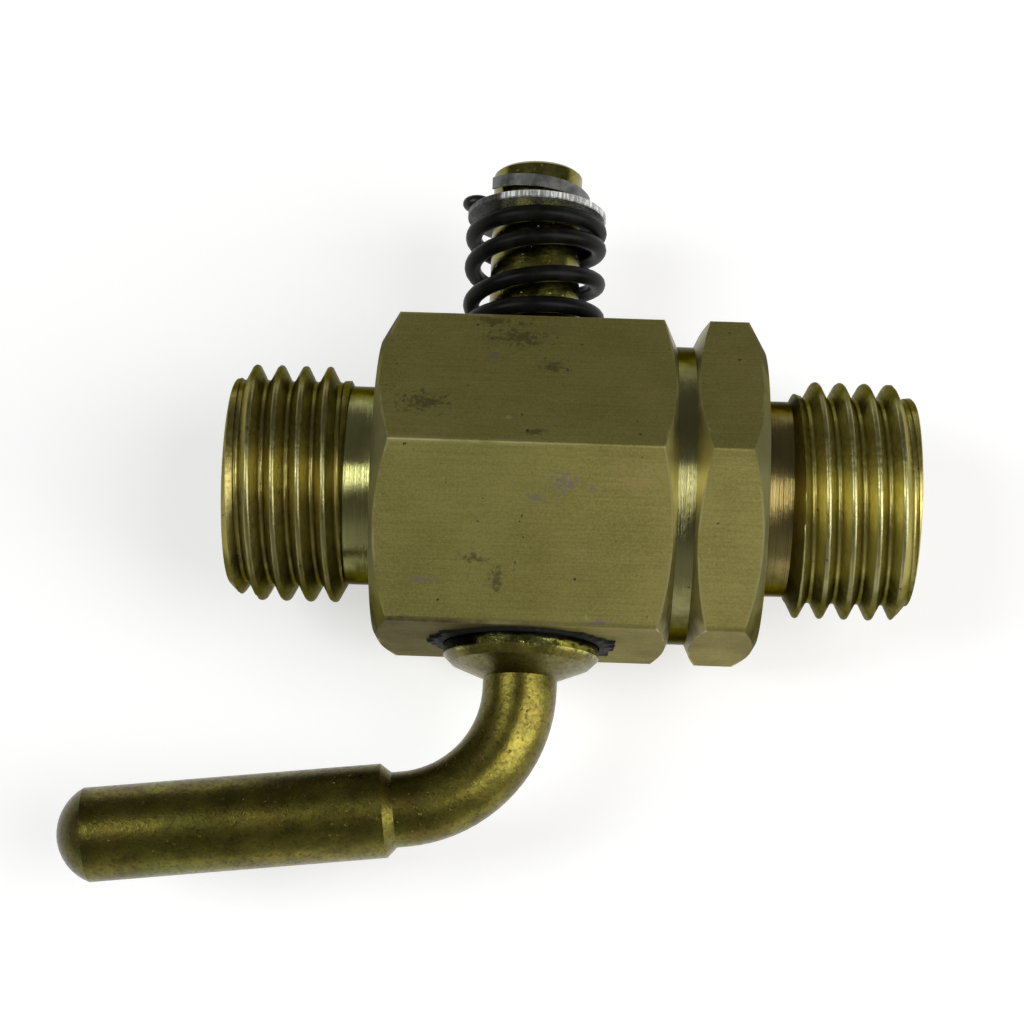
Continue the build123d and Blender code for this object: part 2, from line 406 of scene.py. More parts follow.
# Painted shade: the flat on the lever's side is darkened brown.
LEVER_FLAT_SHADE = (0.055, 0.042, 0.024, 1)
FLAT_WORN = (0.55, 0.51, 0.25, 1)
FLAT_EDGES = (0.9, 0.86, 0.66, 1)
# Painted shade for the sides towards the spring and the lever.
PAINTED_SIDE_SHADE = (0.055, 0.05, 0.018, 1)


# %% Marks on the flats
def soil_flats(tree, place, color):
    """Tints, stains, rubs, dots and pits on the flats; also gives the mask of the pits."""
    copper = add_scuffs(tree, place, COPPER_TINTS, 500)
    color = tint(tree, copper, color, FLAT_COPPER, 0.3)
    stains = add_scuffs(tree, place, DARK_STAINS, 3000)
    color = tint(tree, stains, color, FLAT_STAIN, 0.68)
    rubs = add_scuffs(tree, place, VIOLET_RUBS, 3400)
    color = tint(tree, rubs, color, FLAT_VIOLET, 0.75)
    dots = use(tree, flecks, Vector=place, Scale=2300, Size=0.13, Share=0.45).outputs[0]
    color = tint(tree, dots, color, FLAT_STAIN, 0.6)
    pits = use(tree, flecks, Vector=place, Scale=1000, Size=0.09, Share=0.6).outputs[0]
    return tint(tree, pits, color, FLAT_PIT, 0.8), pits


def shade_sides(tree, place, cloud, color):
    """Painted light on the lower flats towards the inlet, and painted brown shade on the lever's side."""
    along = coordinate(tree, place, 0)
    height = coordinate(tree, place, 1)
    # Painted light: the lower flats grow lighter towards the inlet.
    painted_light = maths(tree, "MULTIPLY", ramp(tree, height, 0.5 * MM, -1.0 * MM),
                    ramp(tree, along, plug_x - 3 * MM, plug_x + 12 * MM))
    color = tint(tree, painted_light, color, FLAT_PAINTED_LIGHT, blend="MULTIPLY")
    # Painted shade: the flat on the lever's side is darkened brown, more towards the outlet, with a blotchy edge.
    flat_shade = ramp(tree, height, -flat_y + 0.3 * MM, -flat_y + 0.1 * MM)
    flat_shade = maths(tree, "MULTIPLY", flat_shade, ramp(tree, cloud, 0.3, 0.7, 1.0, 0.6))
    flat_shade = maths(tree, "MULTIPLY", flat_shade,
                 ramp(tree, along, plug_x - 6 * MM, plug_x + 6 * MM, 0.92, 0.52))
    return tint(tree, flat_shade, color, LEVER_FLAT_SHADE)


# %% Bright wear on the flats
# Each cone has a place along the bore from the plug and a radius there, in millimetres, and a slope.
turned_cones = [(-8.05, 8.1, 1.732), (7.9, 8.15, -2.145), (8.84, 8.15, 2.145), (12.65, 8.1, -1.732)]


def rim_mask(tree, along, radius):
    """Bright just inside the rims."""
    mask = 0.0
    for start, start_radius, slope in turned_cones:
        radius_at_origin = (start_radius - slope * start) * MM - slope * plug_x
        cone = maths(tree, "MULTIPLY_ADD", along, slope, radius_at_origin)
        away = maths(tree, "ABSOLUTE", maths(tree, "SUBTRACT", radius, cone))
        mask = maths(tree, "MAXIMUM", ramp(tree, away, 0.3 * MM, 0.08 * MM), mask)
    return mask


def bright_wear(tree, place, cloud):
    """A mask of the rubbed corners, the rims and a few nicks."""
    along = coordinate(tree, place, 0)
    radius = use(tree, about_bore, Vector=place).outputs["Radius"]
    rubbed = maths(tree, "MULTIPLY", ramp(tree, cloud, 0.38, 0.6),
                   ramp(tree, along, plug_x + 3 * MM, plug_x - 3 * MM, 0.1, 0.7))
    corners = maths(tree, "MULTIPLY", rubbed,
                    ramp(tree, radius, corner_z - 0.1 * MM, corner_z - 0.02 * MM))
    rims = maths(tree, "MULTIPLY", rim_mask(tree, along, radius), ramp(tree, cloud, 0.46, 0.6))
    nicks = use(tree, flecks, Vector=place, Scale=520, Size=0.07, Share=0.3).outputs[0]
    return maths(tree, "MAXIMUM", maths(tree, "MAXIMUM", corners, rims),
                 maths(tree, "MULTIPLY", nicks, 0.8))


# %% Material of the flats
def make_drawn_brass():
    """Dull olive brass with drawing lines, and what has happened to it since."""
    tree = start_material("drawn_brass")
    dull_edges(tree, FLAT_EDGES)
    place = object_place(tree)
    lines = use(tree, tool_lines, Vector=place, Stretch=(260, 9000, 9000), Detail=4.0).outputs[0]
    cloud = grain(tree, place, 260, 4.0)
    stipple = grain(tree, place, 7800, 4.0, 0.75)
    tone = maths(tree, "ADD", maths(tree, "MULTIPLY", lines, 0.26),
                 maths(tree, "ADD", maths(tree, "MULTIPLY", cloud, 0.24),
                       maths(tree, "MULTIPLY", stipple, 0.5)))
    color = tint(tree, ramp(tree, tone, 0.36, 0.64), FLAT_DARK, FLAT_LIGHT)
    color, pits = soil_flats(tree, place, color)
    color = shade_sides(tree, place, cloud, color)
    bright = bright_wear(tree, place, cloud)
    color = tint(tree, bright, color, FLAT_WORN, 0.55)
    rough = maths(tree, "SUBTRACT", ramp(tree, tone, 0.3, 0.7, 0.68, 0.56),
                  maths(tree, "MULTIPLY", bright, 0.15))
    return finish_material("drawn_brass", color, rough, 1.0,
                           [(lines, 0.004 * MM), (stipple, 0.004 * MM), (pits, -0.02 * MM)])


drawn_brass = make_drawn_brass()

# %% [markdown]
# ## Turned brass
# The necks, the groove and the faces were cut on a lathe, so they are brighter and carry fine
# rings. Rings spread a reflection along the bore and leave it sharp across, which is why a neck
# shows a hard-edged band of light. Noise of the distance along the bore and from it gives rings
# on a neck and circles on a face with one graph. The sides towards the spring and the lever are
# darkened with painted shade, and the coppery colour on the inlet side is a painted reflection of
# the collar's brass. The groove's flanks are cleaner and golden, and the chamfers of the hexagon
# are dull olive, so the function makes three materials.

# %% Material of the turned faces
def make_turned_brass(name, outlet_side, middle, inlet_side, smooth, edges):
    """Turned brass whose colour changes from the outlet to the inlet."""
    tree = start_material(name)
    dull_edges(tree, edges)
    place = object_place(tree)
    along = coordinate(tree, place, 0)
    bore = use(tree, about_bore, Vector=place)
    rings = use(tree, tool_lines, Vector=bore.outputs["Vector"], Stretch=(16000, 16000, 0),
                Detail=3.0).outputs[0]
    cloud = grain(tree, place, 400, 3.0)
    color = tint(tree, ramp(tree, along, plug_x - 4 * MM, plug_x + 7 * MM), outlet_side, middle)
    # For the turned brass the inlet side turns coppery: a painted reflection of the collar's brass.
    color = tint(tree, ramp(tree, along, plug_x + 11 * MM, plug_x + 13 * MM), color, inlet_side)
    # Painted shade on the sides towards the spring and the lever.
    color = tint(tree, bore.outputs["Painted side shade"], color, PAINTED_SIDE_SHADE, 0.92)
    color = tint(tree, ramp(tree, cloud, 0.65, 0.35, 0.0, 0.3), color, FLAT_DARK)
    dots = use(tree, flecks, Vector=place, Scale=1500, Size=0.12, Share=0.35).outputs[0]
    color = tint(tree, dots, color, FLAT_PIT, 0.7)
    rough = ramp(tree, cloud, 0.3, 0.7, smooth, smooth + 0.08)
    return finish_material(name, color, rough, 1.0, [(rings, 0.03 * MM)])


NECK_GREEN = (0.42, 0.415, 0.175, 1)
# Painted reflection: the collar's brass seen in the right neck, laid on as coppery colour.
NECK_PAINTED_COPPER_REFLECTION = (0.27, 0.215, 0.085, 1)
GROOVE_GREY = (0.29, 0.275, 0.125, 1)
GOLD = (0.56, 0.51, 0.25, 1)
RIM_OLIVE = (0.25, 0.24, 0.12, 1)
TURNED_EDGES = (0.3, 0.29, 0.21, 1)
FLANK_EDGES = (1.0, 0.97, 0.85, 1)
turned_brass = make_turned_brass("turned_brass", NECK_GREEN, GROOVE_GREY, NECK_PAINTED_COPPER_REFLECTION, 0.16,
                                 TURNED_EDGES)
flank_brass = make_turned_brass("flank_brass", GOLD, GOLD, GOLD, 0.3, FLANK_EDGES)
rim_brass = make_turned_brass("rim_brass", RIM_OLIVE, RIM_OLIVE, RIM_OLIVE, 0.34, TURNED_EDGES)

# %% [markdown]
# ## Threaded brass
# The roots, flanks and crests of a thread differ in colour, because dirt and hands reach them
# differently. The distance from the bore tells them apart. The outlet's thread is browner than
# the inlet's, so one function makes both with their own colours.

# %% Materials of the threads
THREAD_EDGES = (0.55, 0.52, 0.35, 1)
thread_crest = mounts["inlet_thread"]["dims"]["r_mm"] * MM


def make_threaded_brass(name, root, flank, crest):
    """Brass whose colour follows the depth of a thread."""
    tree = start_material(name)
    dull_edges(tree, THREAD_EDGES)
    place = object_place(tree)
    bore = use(tree, about_bore, Vector=place)
    rings = use(tree, tool_lines, Vector=bore.outputs["Vector"], Stretch=(9000, 9000, 0),
                Detail=3.0).outputs[0]
    cloud = grain(tree, place, 700, 4.0)
    speckle = grain(tree, place, 4200, 3.0)
    worn = maths(tree, "ADD", bore.outputs["Radius"],
                 maths(tree, "MULTIPLY", maths(tree, "SUBTRACT", cloud, 0.5), 0.4 * MM))
    color = tint(tree, ramp(tree, worn, thread_crest - 0.85 * MM, thread_crest - 0.35 * MM),
                 root, flank)
    color = tint(tree, ramp(tree, worn, thread_crest - 0.2 * MM, thread_crest), color, crest)
    dots = use(tree, flecks, Vector=place, Scale=1700, Size=0.14, Share=0.4).outputs[0]
    # Painted shade on the sides towards the spring and the lever.
    color = tint(tree, bore.outputs["Painted side shade"], color, PAINTED_SIDE_SHADE, 0.93)
    color = tint(tree, dots, color, FLAT_PIT, 0.7)
    rough = ramp(tree, speckle, 0.3, 0.7, 0.28, 0.44)
    return finish_material(name, color, rough, 1.0,
                           [(rings, 0.012 * MM), (speckle, 0.012 * MM), (cloud, 0.02 * MM)])


outlet_brass = make_threaded_brass(
    "outlet_thread_brass", root=(0.27, 0.228, 0.074, 1), flank=(0.33, 0.29, 0.1, 1),
    crest=(0.255, 0.232, 0.1, 1))
inlet_brass = make_threaded_brass(
    "inlet_thread_brass", root=(0.38, 0.332, 0.105, 1), flank=(0.42, 0.382, 0.14, 1),
    crest=(0.33, 0.305, 0.14, 1))

# %% [markdown]
# ## Lever brass
# The plug, stem and lever are one piece of brass, dark and mottled green and brown by hands. The
# model shows it with one material, so the place along the plug tells the polished collar and
# stem from the mottled lever. The grip's round end is darker, and black grease clings to the
# collar's upper edge and round its left side.

# %% Colours of the plug and lever
NEAR_BLACK = (0.012, 0.012, 0.010, 1)
LEVER_DARK = (0.083, 0.07, 0.014, 1)
LEVER_LIGHT = (0.2, 0.172, 0.033, 1)
LEVER_GREEN = (0.105, 0.122, 0.022, 1)
LEVER_BROWN = (0.13, 0.085, 0.024, 1)
LEVER_STIPPLE = (0.05, 0.04, 0.012, 1)
LEVER_SPOT = (0.04, 0.03, 0.01, 1)
LEVER_END = (0.04, 0.032, 0.012, 1)
STEM_DARK = (0.13, 0.122, 0.022, 1)
STEM_LIGHT = (0.22, 0.205, 0.05, 1)
COLLAR_DARK = (0.11, 0.11, 0.03, 1)
COLLAR_BRIGHT = (0.78, 0.78, 0.22, 1)
lever_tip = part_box("plug_lever")[0].x
collar_end = -flat_y - 0.65 * MM
print(f"lever's tip at {lever_tip / MM:.2f} mm, collar's end at {collar_end / MM:.2f} mm")


# %% Parts of the lever's finish
def mottle_lever(tree, place, mottle, stipple, dots):
    """Colour of the lever: green and brown patches, dark spots and a darker end."""
    green = ramp(tree, grain(tree, place, 260, 3.0), 0.45, 0.7)
    brown = ramp(tree, grain(tree, place, 410, 3.0), 0.5, 0.7)
    low_spots = ramp(tree, stipple, 0.52, 0.32)
    end = ramp(tree, coordinate(tree, place, 0), lever_tip + 2.4 * MM, lever_tip + 0.8 * MM)
    color = tint(tree, ramp(tree, mottle, 0.28, 0.72), LEVER_DARK, LEVER_LIGHT)
    color = tint(tree, green, color, LEVER_GREEN, 0.5)
    color = tint(tree, brown, color, LEVER_BROWN, 0.5)
    color = tint(tree, low_spots, color, LEVER_STIPPLE, 0.7)
    color = tint(tree, dots, color, LEVER_SPOT, 0.4)
    return tint(tree, end, color, LEVER_END, 0.6)


def polish_plug(tree, height, mottle):
    """Colour of the stem and of the brighter collar."""
    stem = tint(tree, ramp(tree, mottle, 0.4, 0.6), STEM_DARK, STEM_LIGHT)
    collar = tint(tree, ramp(tree, mottle, 0.46, 0.58), COLLAR_DARK, COLLAR_BRIGHT)
    return tint(tree, ramp(tree, height, 1.0 * MM, -1.0 * MM), stem, collar)


def grease_mask(tree, place, height, mottle):
    """Grease on the collar's upper edge and round its left side."""
    ragged = maths(tree, "ADD", height, maths(tree, "MULTIPLY", mottle, 1.1 * MM))
    edge = ramp(tree, ragged, -flat_y + 0.05 * MM, -flat_y + 0.2 * MM)
    across = maths(tree, "ADD", coordinate(tree, place, 0),
                   maths(tree, "MULTIPLY", mottle, 1.6 * MM))
    left = ramp(tree, across, plug_x - 1.3 * MM, plug_x - 1.8 * MM)
    below_flat = ramp(tree, height, -flat_y + 0.3 * MM, -flat_y)
    above_end = ramp(tree, height, collar_end - 0.25 * MM, collar_end - 0.1 * MM)
    return maths(tree, "MULTIPLY", maths(tree, "MAXIMUM", edge, left),
                 maths(tree, "MULTIPLY", below_flat, above_end))


# %% Material of the plug and lever
def make_lever_brass():
    """Polished brass on the plug and mottled brass on the lever."""
    tree = start_material("lever_brass")
    place = object_place(tree)
    height = coordinate(tree, place, 1)
    handled = ramp(tree, height, collar_end, collar_end - 0.4 * MM)
    mottle = grain(tree, place, 620, 6.0, 0.7)
    stipple = grain(tree, place, 4600, 3.0, 0.7)
    dots = use(tree, flecks, Vector=place, Scale=2600, Size=0.2, Share=0.5).outputs[0]
    color = tint(tree, handled, polish_plug(tree, height, mottle),
                 mottle_lever(tree, place, mottle, stipple, dots))
    color = tint(tree, grease_mask(tree, place, height, mottle), color, NEAR_BLACK)
    rough = maths(tree, "MULTIPLY", ramp(tree, stipple, 0.3, 0.7, 0.4, 0.26),
                  ramp(tree, handled, 0.0, 1.0, 0.6, 1.0))
    return finish_material("lever_brass", color, rough, 1.0,
                           [(mottle, 0.02 * MM), (stipple, 0.012 * MM), (dots, -0.015 * MM)])


lever_brass = make_lever_brass()
frame["nodes"]["plug_lever"].material_slots[0].material = lever_brass

# %% [markdown]
# ## Steel pieces
# Three steels sit on the stem: a blackened spring, a zinc washer and a dull split pin. The
# washer's rim was sheared from sheet, which leaves short upright marks all round it. The pin's
# eye and the washer's left side are darkened almost black.

# %% Material of the spring
SPRING_DARK = (0.003, 0.003, 0.0027, 1)
SPRING_RUBBED = (0.008, 0.008, 0.007, 1)
spring_shine = 0.085


def make_spring_black():
    """Blackened, oiled wire."""
    tree = start_material("spring_black")
    set_shader(tree, "Specular IOR Level", spring_shine)
    wear = grain(tree, object_place(tree), 900, 4.0)
    color = tint(tree, ramp(tree, wear, 0.4, 0.7), SPRING_DARK, SPRING_RUBBED)
    rough = ramp(tree, wear, 0.3, 0.7, 0.34, 0.46)
    return finish_material("spring_black", color, rough, 0.0, [(wear, 0.01 * MM)])


spring_black = make_spring_black()

# %% Material of the washer
ZINC_DARK = (0.32, 0.33, 0.32, 1)
ZINC_BRIGHT = (0.9, 0.91, 0.9, 1)


def make_washer_zinc():
    """Bright zinc with shear marks, darker on the left."""
    tree = start_material("washer_zinc")
    place = object_place(tree)
    centred = put(tree, "ShaderNodeVectorMath", {0: place, 1: (plug_x, 0, 0)},
                  operation="SUBTRACT").outputs[0]
    marks = use(tree, tool_lines, Vector=centred, Stretch=(7000, 900, 7000), Detail=3.0).outputs[0]
    cloud = grain(tree, place, 700, 3.0)
    color = tint(tree, ramp(tree, marks, 0.4, 0.65), ZINC_DARK, ZINC_BRIGHT)
    ragged = maths(tree, "ADD", coordinate(tree, place, 0),
                   maths(tree, "MULTIPLY", cloud, 0.8 * MM))
    # The washer's left side is darkened almost black.
    left_darkening = ramp(tree, ragged, plug_x - 1.2 * MM, plug_x - 1.7 * MM, 0.0, 0.9)
    color = tint(tree, left_darkening, color, NEAR_BLACK)
    rough = ramp(tree, cloud, 0.3, 0.7, 0.38, 0.52)
    return finish_material("washer_zinc", color, rough, 1.0, [(marks, 0.03 * MM)])


washer_zinc = make_washer_zinc()
frame["nodes"]["washer"].material_slots[0].material = washer_zinc

# %% Material of the split pin
PIN_DARK = (0.14, 0.145, 0.138, 1)
PIN_LIGHT = (0.195, 0.2, 0.192, 1)


def make_pin_grey():
    """Dull grey zinc, darker at the eye."""
    tree = start_material("pin_grey")
    place = object_place(tree)
    cloud = grain(tree, place, 1500, 4.0)
    color = tint(tree, ramp(tree, cloud, 0.35, 0.65), PIN_DARK, PIN_LIGHT)
    # The pin's eye is darkened almost black.
    left_darkening = ramp(tree, coordinate(tree, place, 0), plug_x - 2.5 * MM, plug_x - 2.9 * MM, 0.0, 0.85)
    color = tint(tree, left_darkening, color, NEAR_BLACK)
    rough = ramp(tree, cloud, 0.3, 0.7, 0.35, 0.5)
    return finish_material("pin_grey", color, rough, 1.0, [(cloud, 0.012 * MM)])


pin_grey = make_pin_grey()

# %% [markdown]
# ## The threads
# The solid model cuts each thread as a groove with flat crests and sharp corners. A real pipe
# thread is rounded at its crests and roots. Here a row of rounded outlines is spun once about
# the bore while it moves along by one pitch, so each outline ends where its neighbour began and
# the seam closes. Bevelling the solid's thread would keep its uneven faces.

# %% Outline of one thread
thread_pitch = 1.337 * MM
thread_depth = 0.640 * thread_pitch
crest_round = 0.137 * thread_pitch
flank_angle = math.radians(27.5)
arc_steps = 4
thread_steps = 96
print(f"threads {thread_depth / MM:.2f} mm deep")


def half_thread():
    """Points from the middle of a crest to the middle of a root: distance along, radius."""
    crest = []
    root = []
    for step in range(arc_steps + 1):
        lean = (math.pi / 2 - flank_angle) * step / arc_steps
        along = crest_round * math.sin(lean)
        drop = crest_round * (1 - math.cos(lean))
        crest.append((along, thread_crest - drop))
        root.append((thread_pitch / 2 - along, thread_crest - thread_depth + drop))
    return crest + root[::-1]


# %% Spin a thread
def spin_thread(crest_at_top, low, high):
    """A threaded skin between two places along the bore; a crest is at +Y at crest_at_top."""
    bm = bmesh.new()
    falling = half_thread()
    rising = [(-along, radius) for along, radius in reversed(falling)]
    first = math.floor((low - crest_at_top) / thread_pitch) - 1
    last = math.ceil((high - crest_at_top) / thread_pitch) + 1
    row = [bm.verts.new((crest_at_top + first * thread_pitch + rising[0][0], rising[0][1], 0))]
    for turn in range(first, last + 1):
        for along, radius in rising[1:] + falling[1:]:
            row.append(bm.verts.new((crest_at_top + turn * thread_pitch + along, radius, 0)))
            bm.edges.new(row[-2:])
    bmesh.ops.spin(bm, geom=bm.verts[:] + bm.edges[:], cent=(0, 0, 0), axis=(1, 0, 0),
                   dvec=(thread_pitch / thread_steps, 0, 0), angle=2 * math.pi,
                   steps=thread_steps, use_merge=False)
    bmesh.ops.remove_doubles(bm, verts=bm.verts[:], dist=2 * merge_distance)
    for cut, keep_above in ((low, True), (high, False)):
        bmesh.ops.bisect_plane(bm, geom=bm.verts[:] + bm.edges[:] + bm.faces[:],
                               plane_co=(cut, 0, 0), plane_no=(1, 0, 0),
                               clear_inner=keep_above, clear_outer=not keep_above)
    return bm


# %% [markdown]
# ## The ends of each thread
# A thread runs out into the neck and is chamfered at its end. Both are cones, so each point of
# the skin is pulled in to the cone where it stands proud of it. Small dents in the crests come
# from noise, deeper on the outlet's thread, which has been knocked more.

# %% Run out, chamfer and dent a thread
end_chamfer = 0.85 * MM
run_out = 0.55 * MM
seam = 0.05 * MM
dent_pattern = 1900


def shape_thread(bm, neck_x, end_x, neck_radius, dent):
    """Pull a threaded skin in to its run-out and end cones, and dent its crests."""
    slope = (thread_crest - neck_radius) / run_out
    for vert in bm.verts:
        radius = math.hypot(vert.co.y, vert.co.z)
        from_neck = abs(vert.co.x - neck_x)
        from_end = abs(vert.co.x - end_x)
        limit = min(neck_radius + from_neck * slope, thread_crest - end_chamfer + from_end)
        wanted = min(radius, limit)
        if from_neck > run_out and from_end > 2 * seam:
            wanted -= dent * max(0.0, noise.noise(vert.co * dent_pattern) - 0.1)
        vert.co.y *= wanted / radius
        vert.co.z *= wanted / radius


# %% [markdown]
# ## The valve body
# The body is copied from the solid model, which already has its hexagon, groove, waterway and
# taper bore. Its flat-crested threads are cut away and the rounded ones are bridged in, so the
# body stays one closed mesh, as the real one is one piece of brass.

# %% Open the copied body at a thread
def cut_thread(bm, neck_x, end_x, neck_radius):
    """Delete the threaded skin between a neck and the thread's end."""
    low, high = sorted((neck_x, end_x))
    skin = []
    for face in bm.faces:
        inside = low < face.calc_center_median().x < high
        nearest = min(math.hypot(vert.co.y, vert.co.z) for vert in face.verts)
        if inside and nearest > neck_radius - seam:
            skin.append(face)
    bmesh.ops.delete(bm, geom=skin, context="FACES")


def open_loop(bm, x):
    """The open edges at one place along the bore."""
    edges = []
    for edge in bm.edges:
        middle = (edge.verts[0].co.x + edge.verts[1].co.x) / 2
        if edge.is_boundary and abs(middle - x) < seam / 4:
            edges.append(edge)
    return edges


# %% Places of the two threads
FLATS, TURNED, OUTLET, INLET, FLANK, RIM = range(6)
outlet_neck_x = plug_x - 9.65 * MM
inlet_neck_x = plug_x + 14.15 * MM
thread_ends = {
    OUTLET: {"neck_x": outlet_neck_x, "end_x": body_low.x, "neck_radius": 5.45 * MM,
             "crest": plug_x - 12.37 * MM, "dent": 0.10 * MM},
    INLET: {"neck_x": inlet_neck_x, "end_x": body_high.x, "neck_radius": 5.35 * MM,
            "crest": plug_x + 16.81 * MM, "dent": 0.06 * MM},
}
print(f"necks end at {outlet_neck_x / MM:.2f} and {inlet_neck_x / MM:.2f} mm")


# %% Swap a thread
def add_thread(bm, index, neck_x, end_x, neck_radius, crest, dent):
    """Swap one thread of the body for a spun one with rounded crests."""
    side = math.copysign(1, end_x - neck_x)
    skin_neck = neck_x + side * seam
    skin_end = end_x - side * seam
    cut_thread(bm, neck_x, end_x, neck_radius)
    thread = spin_thread(crest, min(skin_neck, skin_end), max(skin_neck, skin_end))
    shape_thread(thread, neck_x, end_x, neck_radius, dent)
    for face in thread.faces:
        face.material_index = index
    skin = bpy.data.meshes.new("thread_skin")
    thread.to_mesh(skin)
    thread.free()
    bm.from_mesh(skin)
    bpy.data.meshes.remove(skin)
    for fixed, spun in ((neck_x, skin_neck), (end_x, skin_end)):
        loops = open_loop(bm, fixed) + open_loop(bm, spun)
        made = bmesh.ops.bridge_loops(bm, edges=loops)
        for face in made["faces"]:
            face.material_index = index


# %% Tell the finishes of the body apart
groove_start = plug_x + 7 * MM
groove_end = plug_x + 10 * MM
chamfer_root = 7 * MM
skin_slack = 0.02 * MM


def skin_of(face):
    """Drawn skin of the bar, flank of the groove, chamfer of the hexagon, or other turned face."""
    nearest = min(math.hypot(vert.co.y, vert.co.z) for vert in face.verts)
    lean = abs(face.normal.x)
    if lean < 0.02 and nearest > flat_y - skin_slack:
        return FLATS
    if groove_start < face.calc_center_median().x < groove_end and 0.5 < lean < 0.98:
        return FLANK
    if nearest > chamfer_root and 0.3 < lean < 0.98:
        return RIM
    return TURNED


# %% Build the valve body
body_bm = bmesh.new()
body_bm.from_mesh(frame["nodes"]["valve_body"].data)
bmesh.ops.remove_doubles(body_bm, verts=body_bm.verts[:], dist=merge_distance)
for face in body_bm.faces:
    face.material_index = skin_of(face)
for index, sizes in thread_ends.items():
    add_thread(body_bm, index, **sizes)
bmesh.ops.recalc_face_normals(body_bm, faces=body_bm.faces[:])
print("open edges left on the body", sum(edge.is_boundary for edge in body_bm.edges))
body_piece = make_piece("petcock_body", body_bm, "valve_body",
                        [drawn_brass, turned_brass, outlet_brass, inlet_brass, flank_brass,
                         rim_brass])
body_piece.modifiers.new("even_flats", "WEIGHTED_NORMAL").keep_sharp = True
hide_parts("valve_body")

# %% [markdown]
# ## The spring
# The spring shortens when the plug is pushed, and a node of the solid model can't change
# length, so a new spring replaces it. A ring of wire is spun round the stem in short steps, and
# each step has its own rise: small at the closed ends, larger in the open coils.

# %% Shape of the spring
spring_low, spring_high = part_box("spring")
wire = 0.92 * MM
coil_radius = (spring_high.z - spring_low.z - wire) / 2
coil_turns = 4.4
coil_start = -1.1
end_closing = 0.6
coil_lean = 0.2 * MM
steps_per_turn = 40
wire_sides = 16


def wire_height(share):
    """Height of the wire's middle line, from its lower end (0) to its upper end (1)."""
    turn = 2 * math.pi * (coil_start + share * coil_turns)
    rise = share - end_closing * math.sin(2 * math.pi * share) / (2 * math.pi)
    lean = coil_lean * math.cos(turn) * math.sin(math.pi * share) ** 2
    return flat_y + wire / 2 + (spring_high.y - flat_y - wire) * rise + lean


# %% Wind the spring
spring_bm = bmesh.new()
start_turn = Matrix.Rotation(2 * math.pi * coil_start, 4, "Y")
start_place = Matrix.Translation((plug_x, wire_height(0), 0)) @ start_turn
bmesh.ops.create_circle(
    spring_bm, segments=wire_sides, radius=wire / 2,
    matrix=start_place @ Matrix.Translation((coil_radius, 0, 0)))
end_rings = [spring_bm.edges[:]]
moving = spring_bm.verts[:] + spring_bm.edges[:]
coil_steps = round(coil_turns * steps_per_turn)
for step in range(coil_steps):
    rise = wire_height((step + 1) / coil_steps) - wire_height(step / coil_steps)
    made = bmesh.ops.spin(spring_bm, geom=moving, cent=(plug_x, 0, 0), axis=(0, 1, 0),
                          dvec=(0, rise, 0), angle=2 * math.pi * coil_turns / coil_steps,
                          steps=1, use_merge=False)
    moving = made["geom_last"]
end_rings.append([part for part in moving if isinstance(part, bmesh.types.BMEdge)])
for edges in end_rings:
    bmesh.ops.edgeloop_fill(spring_bm, edges=edges)
bmesh.ops.recalc_face_normals(spring_bm, faces=spring_bm.faces[:])
spring_piece = make_piece("coil_spring", spring_bm, "valve_body", [spring_black])
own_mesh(spring_piece)
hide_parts("spring")

# %% [markdown]
# ## The split pin
# A split pin is half-round wire folded double, with an eye at the fold. Its legs go through the
# stem and are bent back round it. The front leg climbs as it goes round, so it isn't flat, and
# the section is spun with a rise. Every bend is a spin about its own centre.

# %% Measure the split pin
pin_low, pin_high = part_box("split_pin")
pin_y = (pin_low.y + pin_high.y) / 2
pin_radius = (pin_high.y - pin_low.y) / 2
leg_gap = 0.02 * MM
pin_sides = 20
stem_radius = 2.5 * MM
wrap_gap = 0.15 * MM
eye_gap = 0.05 * MM
wrap_radius = stem_radius + wrap_gap + pin_radius
bend_radius = 0.5 * MM
neck_bend = 0.45 * MM
eye_bend = 0.5 * MM
neck_x = plug_x - stem_radius - eye_gap
bend_z = leg_gap + bend_radius
bend_x = math.sqrt((wrap_radius - bend_radius) ** 2 - bend_z ** 2)
bend_lean = math.atan2(bend_z, bend_x)
wrap_end = math.radians(148)
neck_turn = math.acos((leg_gap + neck_bend) / (neck_bend + eye_bend))
eye_x = neck_x - (neck_bend + eye_bend) * math.sin(neck_turn)
print(f"pin wire {2 * pin_radius / MM:.2f} mm thick, bent round at {wrap_radius / MM:.2f} mm")


# %% Bend one leg
def sweep_on(bm, section, centre, angle, steps, rise=0.0):
    """Spin a section about an upright axis; a positive angle turns from +X towards +Z."""
    made = bmesh.ops.spin(bm, geom=section, cent=(centre[0], 0, centre[1]), axis=(0, -1, 0),
                          dvec=(0, rise / steps, 0), angle=angle, steps=steps, use_merge=False)
    return made["geom_last"]


def half_round(bm, x):
    """The closed outline of half-round wire, its flat at the leg gap and its back to +Z."""
    turned = Matrix.Translation((x, pin_y, 0)) @ Matrix.Rotation(math.pi / 2, 4, "Y")
    bmesh.ops.create_circle(bm, segments=pin_sides, radius=pin_radius, matrix=turned)
    geom = bm.verts[:] + bm.edges[:]
    bmesh.ops.bisect_plane(bm, geom=geom, dist=merge_distance, plane_co=(x, pin_y, 0),
                           plane_no=(0, 0, 1), clear_inner=True)
    ends = [vert for vert in bm.verts if len(vert.link_edges) == 1]
    bm.edges.new(ends)
    bmesh.ops.translate(bm, verts=bm.verts[:], vec=(0, 0, leg_gap))
    return bm.verts[:] + bm.edges[:]


